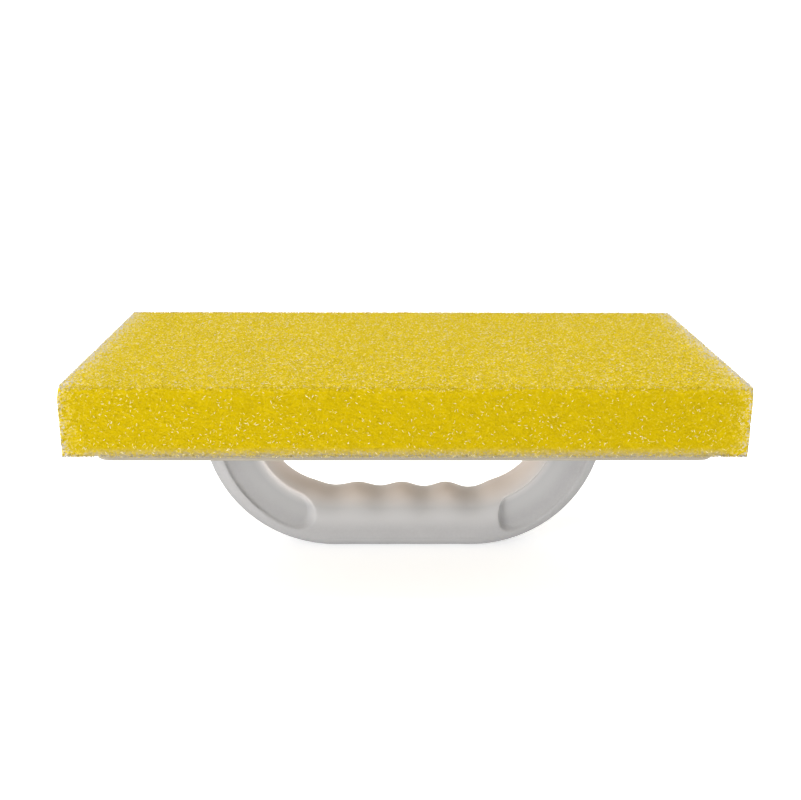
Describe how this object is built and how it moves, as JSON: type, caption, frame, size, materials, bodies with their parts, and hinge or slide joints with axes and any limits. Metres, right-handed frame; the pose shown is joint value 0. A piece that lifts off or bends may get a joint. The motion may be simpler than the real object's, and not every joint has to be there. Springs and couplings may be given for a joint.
{
  "type": "grout float",
  "caption": "Hand float for washing grouted tile joints: a coarse open-cell foam block glued to a flat plastic plate, with a scalloped D-handle screwed to the other side.",
  "frame": {"origin": "middle of the handle's flat palm side, on which the float stands with its foam up", "axes": "+X along the float's length, +Y across it, +Z from the palm side towards the working face of the foam; in use the float is turned over, so that +Z points at the tiles"},
  "size_m": [0.28, 0.14, 0.0974],
  "materials": {
    "yellow_foam": "coarse open-cell polyurethane foam, matt, with small glints on its struts",
    "glue_film": "thin cured contact glue",
    "plate_plastic": "moulded plastic, warm grey, fine matt grain",
    "handle_plastic": "moulded structural foam plastic, light grey, faintly mottled",
    "zinc_plated_steel": "bright zinc plating"
  },
  "bodies": {
    "root": {"sponge_pad": "yellow_foam", "adhesive_layer": "glue_film", "base_plate": "plate_plastic", "handle": "handle_plastic", "screw_1": "zinc_plated_steel", "screw_2": "zinc_plated_steel", "screw_3": "zinc_plated_steel", "screw_4": "zinc_plated_steel"}
  },
  "joints": []
}
